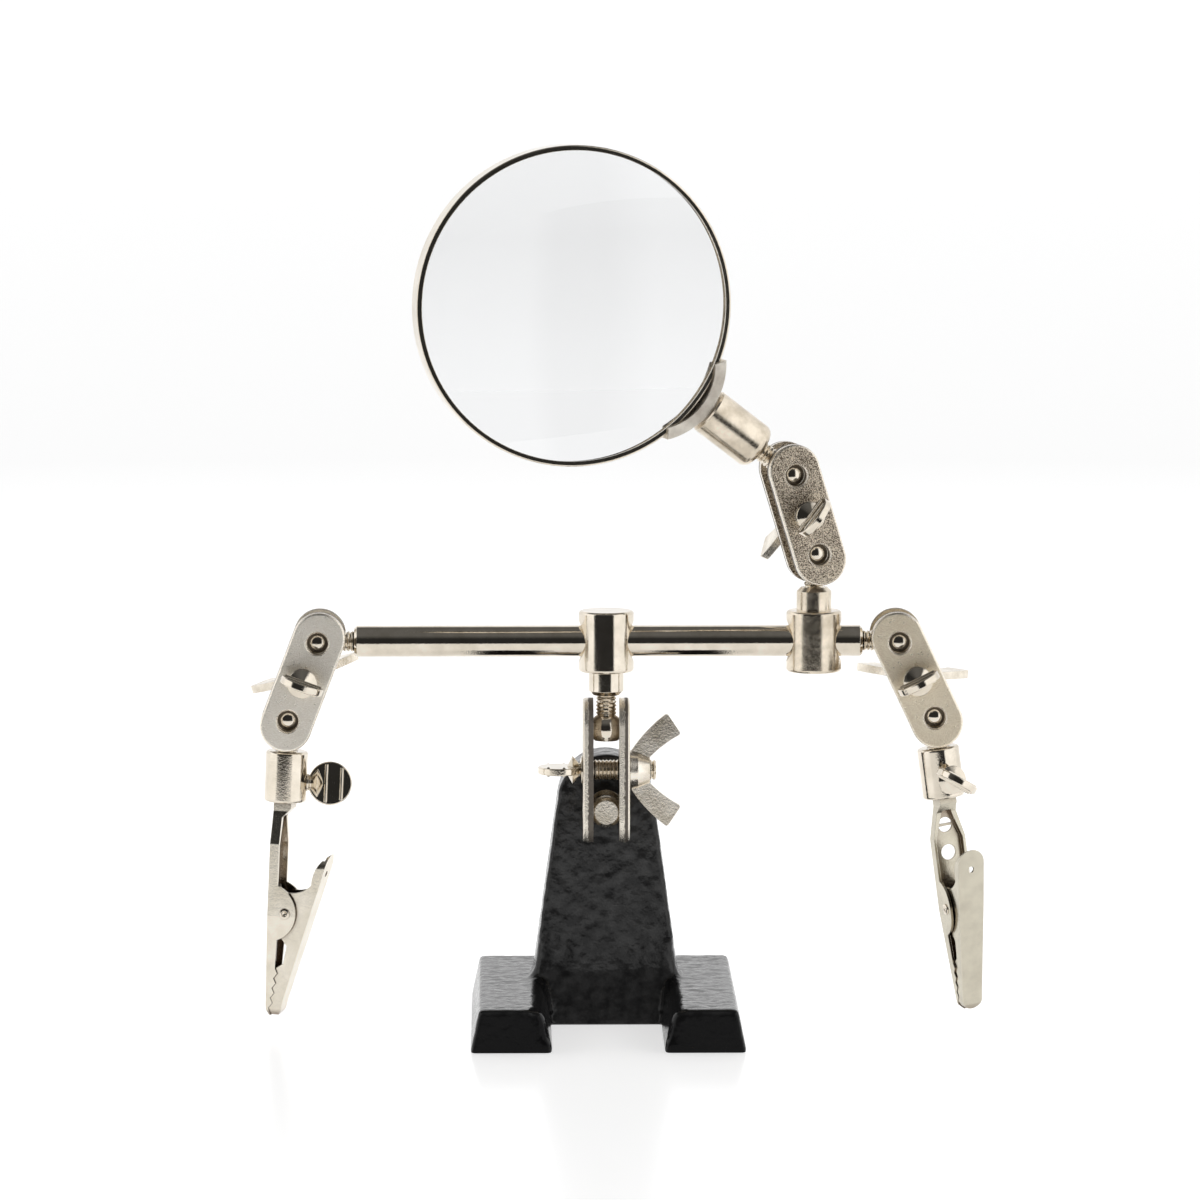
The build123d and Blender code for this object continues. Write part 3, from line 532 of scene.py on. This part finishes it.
def make_glass():
    """Lens turned with finely divided, smooth faces."""
    node = "lens_glass"
    points = np.array([vertex.co for vertex in NODES[node].data.vertices])
    centre = (points.min(axis=0) + points.max(axis=0)) / 2
    axis = Vector(np.linalg.eigh(np.cov((points - centre).T))[1][:, 0])
    along = (points - centre) @ np.array(axis)
    across = np.linalg.norm((points - centre) - np.outer(along, np.array(axis)), axis=1)
    radius = float(across.max())
    sag_tip = float(along.max())
    edge = float(np.abs(along[across > radius - EDGE_BAND]).max())
    sag = sag_tip - edge
    ball = (radius**2 + sag**2) / (2 * sag)
    side = axis.orthogonal().normalized()
    other = axis.cross(side)
    work = bmesh.new()
    rows = []
    for face in (1, -1):
        for ring in range(1, LENS_RINGS + 1):
            reach = radius * ring / LENS_RINGS
            height = face * (edge + sag - (ball - math.sqrt(ball**2 - reach**2)))
            row = []
            for step in range(LENS_STEPS):
                turn = 2 * math.pi * step / LENS_STEPS
                arm = side * math.cos(turn) + other * math.sin(turn)
                row.append(work.verts.new(Vector(centre) + axis * height + arm * reach))
            rows.append(row)
    front, back = rows[:LENS_RINGS], rows[LENS_RINGS:]
    chain = [*front, *reversed(back)]
    for first, second in zip(chain, chain[1:]):
        for step in range(LENS_STEPS):
            after = (step + 1) % LENS_STEPS
            work.faces.new((first[step], first[after], second[after], second[step]))
    for row, face in ((front[0], 1), (back[0], -1)):
        tip = work.verts.new(Vector(centre) + axis * face * (edge + sag))
        for step in range(LENS_STEPS):
            work.faces.new((tip, row[step], row[(step + 1) % LENS_STEPS]))
    bmesh.ops.recalc_face_normals(work, faces=work.faces)
    for face in work.faces:
        face.smooth = True
    for line in work.edges:
        if line.is_manifold and line.calc_face_angle() > SHARP_TURN:
            line.smooth = False
    mesh = bpy.data.meshes.new("ground_lens")
    work.to_mesh(mesh)
    work.free()
    stand_in("ground_lens", mesh, node, clear_glass())


# ---------------------------------------------------------------- stage


def make_floor():
    """White table top; it ends in front of the object, so upright metal mirrors the dark room."""
    material, nodes, links = new_material("floor_white")
    shader = nodes["Principled BSDF"]
    shader.inputs["Base Color"].default_value = (0.9, 0.9, 0.9, 1.0)
    shader.inputs["Roughness"].default_value = 0.22
    shader.inputs["Specular IOR Level"].default_value = 0.12
    shader.inputs["Emission Color"].default_value = (1.0, 1.0, 1.0, 1.0)
    away = nodes.new("ShaderNodeVectorMath")
    away.operation = "LENGTH"
    links.new(nodes.new("ShaderNodeTexCoord").outputs["Object"], away.inputs[0])
    glow = remap(nodes, links, away.outputs["Value"], GLOW_NEAR, GLOW_FAR, *GLOW_REACH)
    links.new(glow, shader.inputs["Emission Strength"])
    mesh = bpy.data.meshes.new("floor")
    corners = [
        (-FLOOR_SIDE, FLOOR_FRONT, 0),
        (FLOOR_SIDE, FLOOR_FRONT, 0),
        (FLOOR_SIDE, FLOOR_BACK, 0),
        (-FLOOR_SIDE, FLOOR_BACK, 0),
    ]
    mesh.from_pydata(corners, [], [(0, 1, 2, 3)])
    mesh.materials.append(material)
    floor = bpy.data.objects.new("floor", mesh)
    bpy.context.scene.collection.objects.link(floor)
    floor.location.z = CAD_BOX[0][2] - FLOOR_DROP


def make_world():
    """Studio: white behind and at the sides, dark towards the camera, a dim glow overhead."""
    world = bpy.data.worlds.new("studio")
    world.use_nodes = True
    bpy.context.scene.world = world
    nodes, links = world.node_tree.nodes, world.node_tree.links
    back = nodes["Background"]
    split = nodes.new("ShaderNodeSeparateXYZ")
    links.new(nodes.new("ShaderNodeTexCoord").outputs["Generated"], split.inputs["Vector"])
    x, y, z = (split.outputs[axis] for axis in "XYZ")
    toward_camera = math_node(nodes, links, "MULTIPLY", y, -1.0)
    azimuth = math_node(nodes, links, "ARCTAN2", x, toward_camera)
    right = remap(nodes, links, azimuth, 0.0, 1.0, *map(math.radians, RIGHT_WALL))
    left = remap(nodes, links, azimuth, 0.0, 1.0, *map(math.radians, LEFT_WALL))
    walls = math_node(nodes, links, "MAXIMUM", right, left)
    below_top = remap(nodes, links, z, 1.0, 0.0, *WALL_TOP)
    walls = math_node(nodes, links, "MULTIPLY", walls, below_top)
    overhead = remap(nodes, links, z, 0.0, OVERHEAD, *OVERHEAD_RISE)
    level = math_node(nodes, links, "MAXIMUM", walls, overhead)
    level = math_node(nodes, links, "MAXIMUM", level, ROOM)
    strength = remap(nodes, links, y, WALLS, WALL_BEHIND, *BEHIND_RISE)
    level = math_node(nodes, links, "MULTIPLY", level, strength)
    ray = nodes.new("ShaderNodeLightPath").outputs["Is Camera Ray"]
    plain = nodes.new("ShaderNodeMix")
    plain.inputs["B"].default_value = 1.0
    links.new(level, plain.inputs["A"])
    links.new(ray, plain.inputs["Factor"])
    links.new(plain.outputs["Result"], back.inputs["Strength"])
    back.inputs["Color"].default_value = (1.0, 1.0, 1.0, 1.0)


def make_camera():
    """Long lens from the front, a little above."""
    camera = bpy.data.cameras.new("camera")
    camera.lens = FOCAL_MM
    camera.sensor_width = 36.0
    camera.clip_end = 200.0
    holder = bpy.data.objects.new("camera", camera)
    view = Vector(
        (math.sin(YAW) * math.cos(PITCH), math.cos(YAW) * math.cos(PITCH), -math.sin(PITCH))
    )
    holder.location = AIM - view * DISTANCE
    holder.rotation_euler = view.to_track_quat("-Z", "Y").to_euler()
    bpy.context.scene.collection.objects.link(holder)
    bpy.context.scene.camera = holder


dress_nodes()
make_casting()
make_glass()
make_floor()
make_world()
make_camera()
bpy.context.scene.view_settings.view_transform = "Standard"
